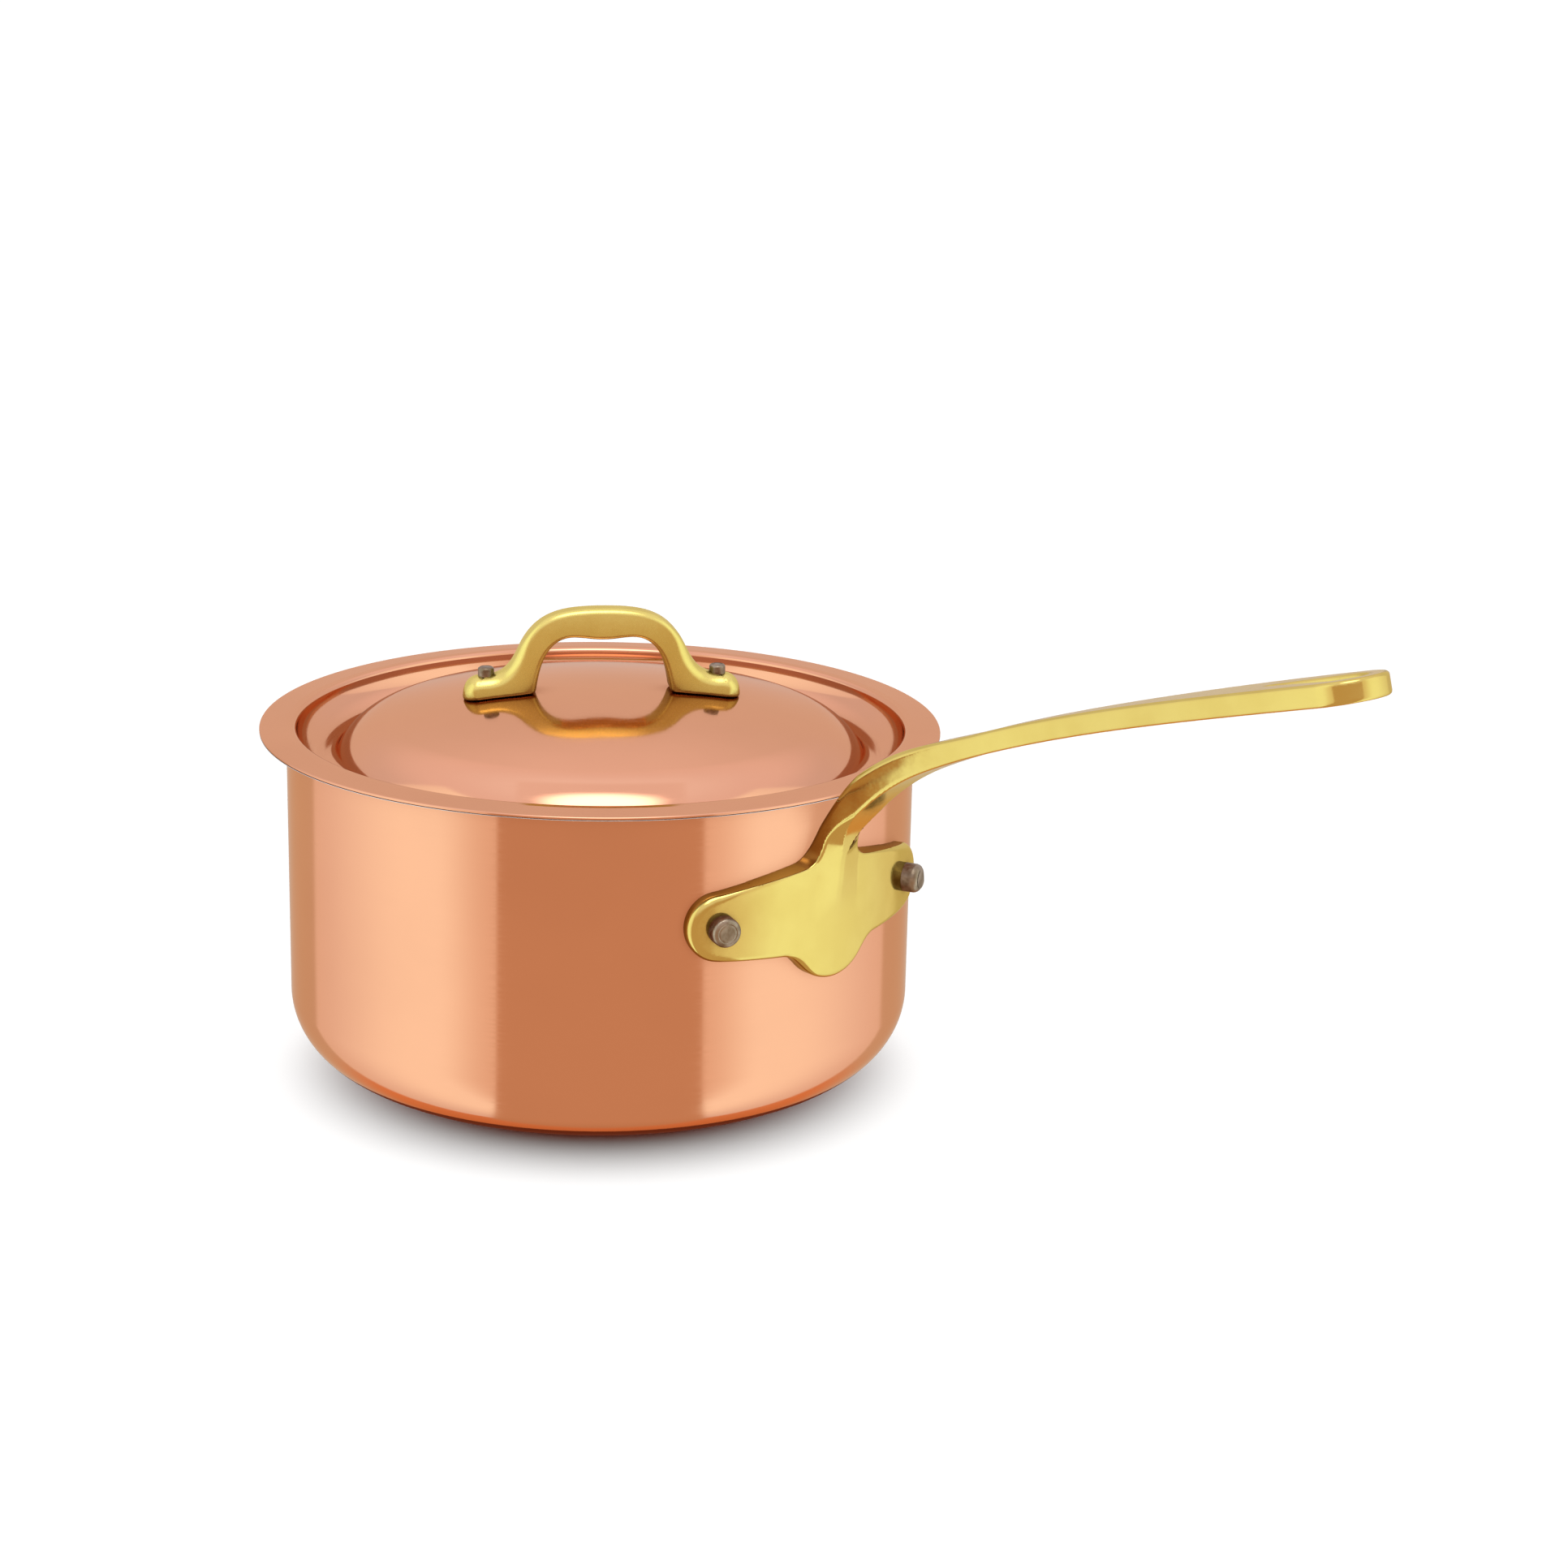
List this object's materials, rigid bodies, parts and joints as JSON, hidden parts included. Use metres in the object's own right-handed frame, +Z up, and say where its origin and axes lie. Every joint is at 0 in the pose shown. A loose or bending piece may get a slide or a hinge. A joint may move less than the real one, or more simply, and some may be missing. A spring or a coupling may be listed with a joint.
{
  "type": "lidded saucepan",
  "caption": "Straight-sided copper saucepan with a steel lining, a domed lid with a bridge handle, and a long riveted brass handle ending in a hanging eye.",
  "frame": {"origin": "centre of the underside of the pan's base, on the surface it stands on", "axes": "+Z up along the axis of the pan; +X out along the long handle; +Y completes a right-handed frame"},
  "size_m": [0.4094, 0.22, 0.1839],
  "materials": {
    "copper": "bright polished copper with a faint spun grain",
    "steel_lining": "fine circular brushing",
    "cast_brass": "cast, ground and polished",
    "rivet_metal": "dull, hammered"
  },
  "bodies": {
    "pan": {"pan_body": "copper", "pan_lining": "steel_lining", "handle": "cast_brass", "handle_rivet_left": "rivet_metal", "handle_rivet_right": "rivet_metal"},
    "lid": {"lid_shell": "copper", "lid_lining": "steel_lining", "lid_handle": "cast_brass", "lid_rivet_left": "rivet_metal", "lid_rivet_right": "rivet_metal"}
  },
  "joints": [
    {"name": "lid_lift", "type": "slide", "parent": "pan", "child": "lid", "axis": [0, 0, 1], "range_m": [0, 0.12]}
  ]
}
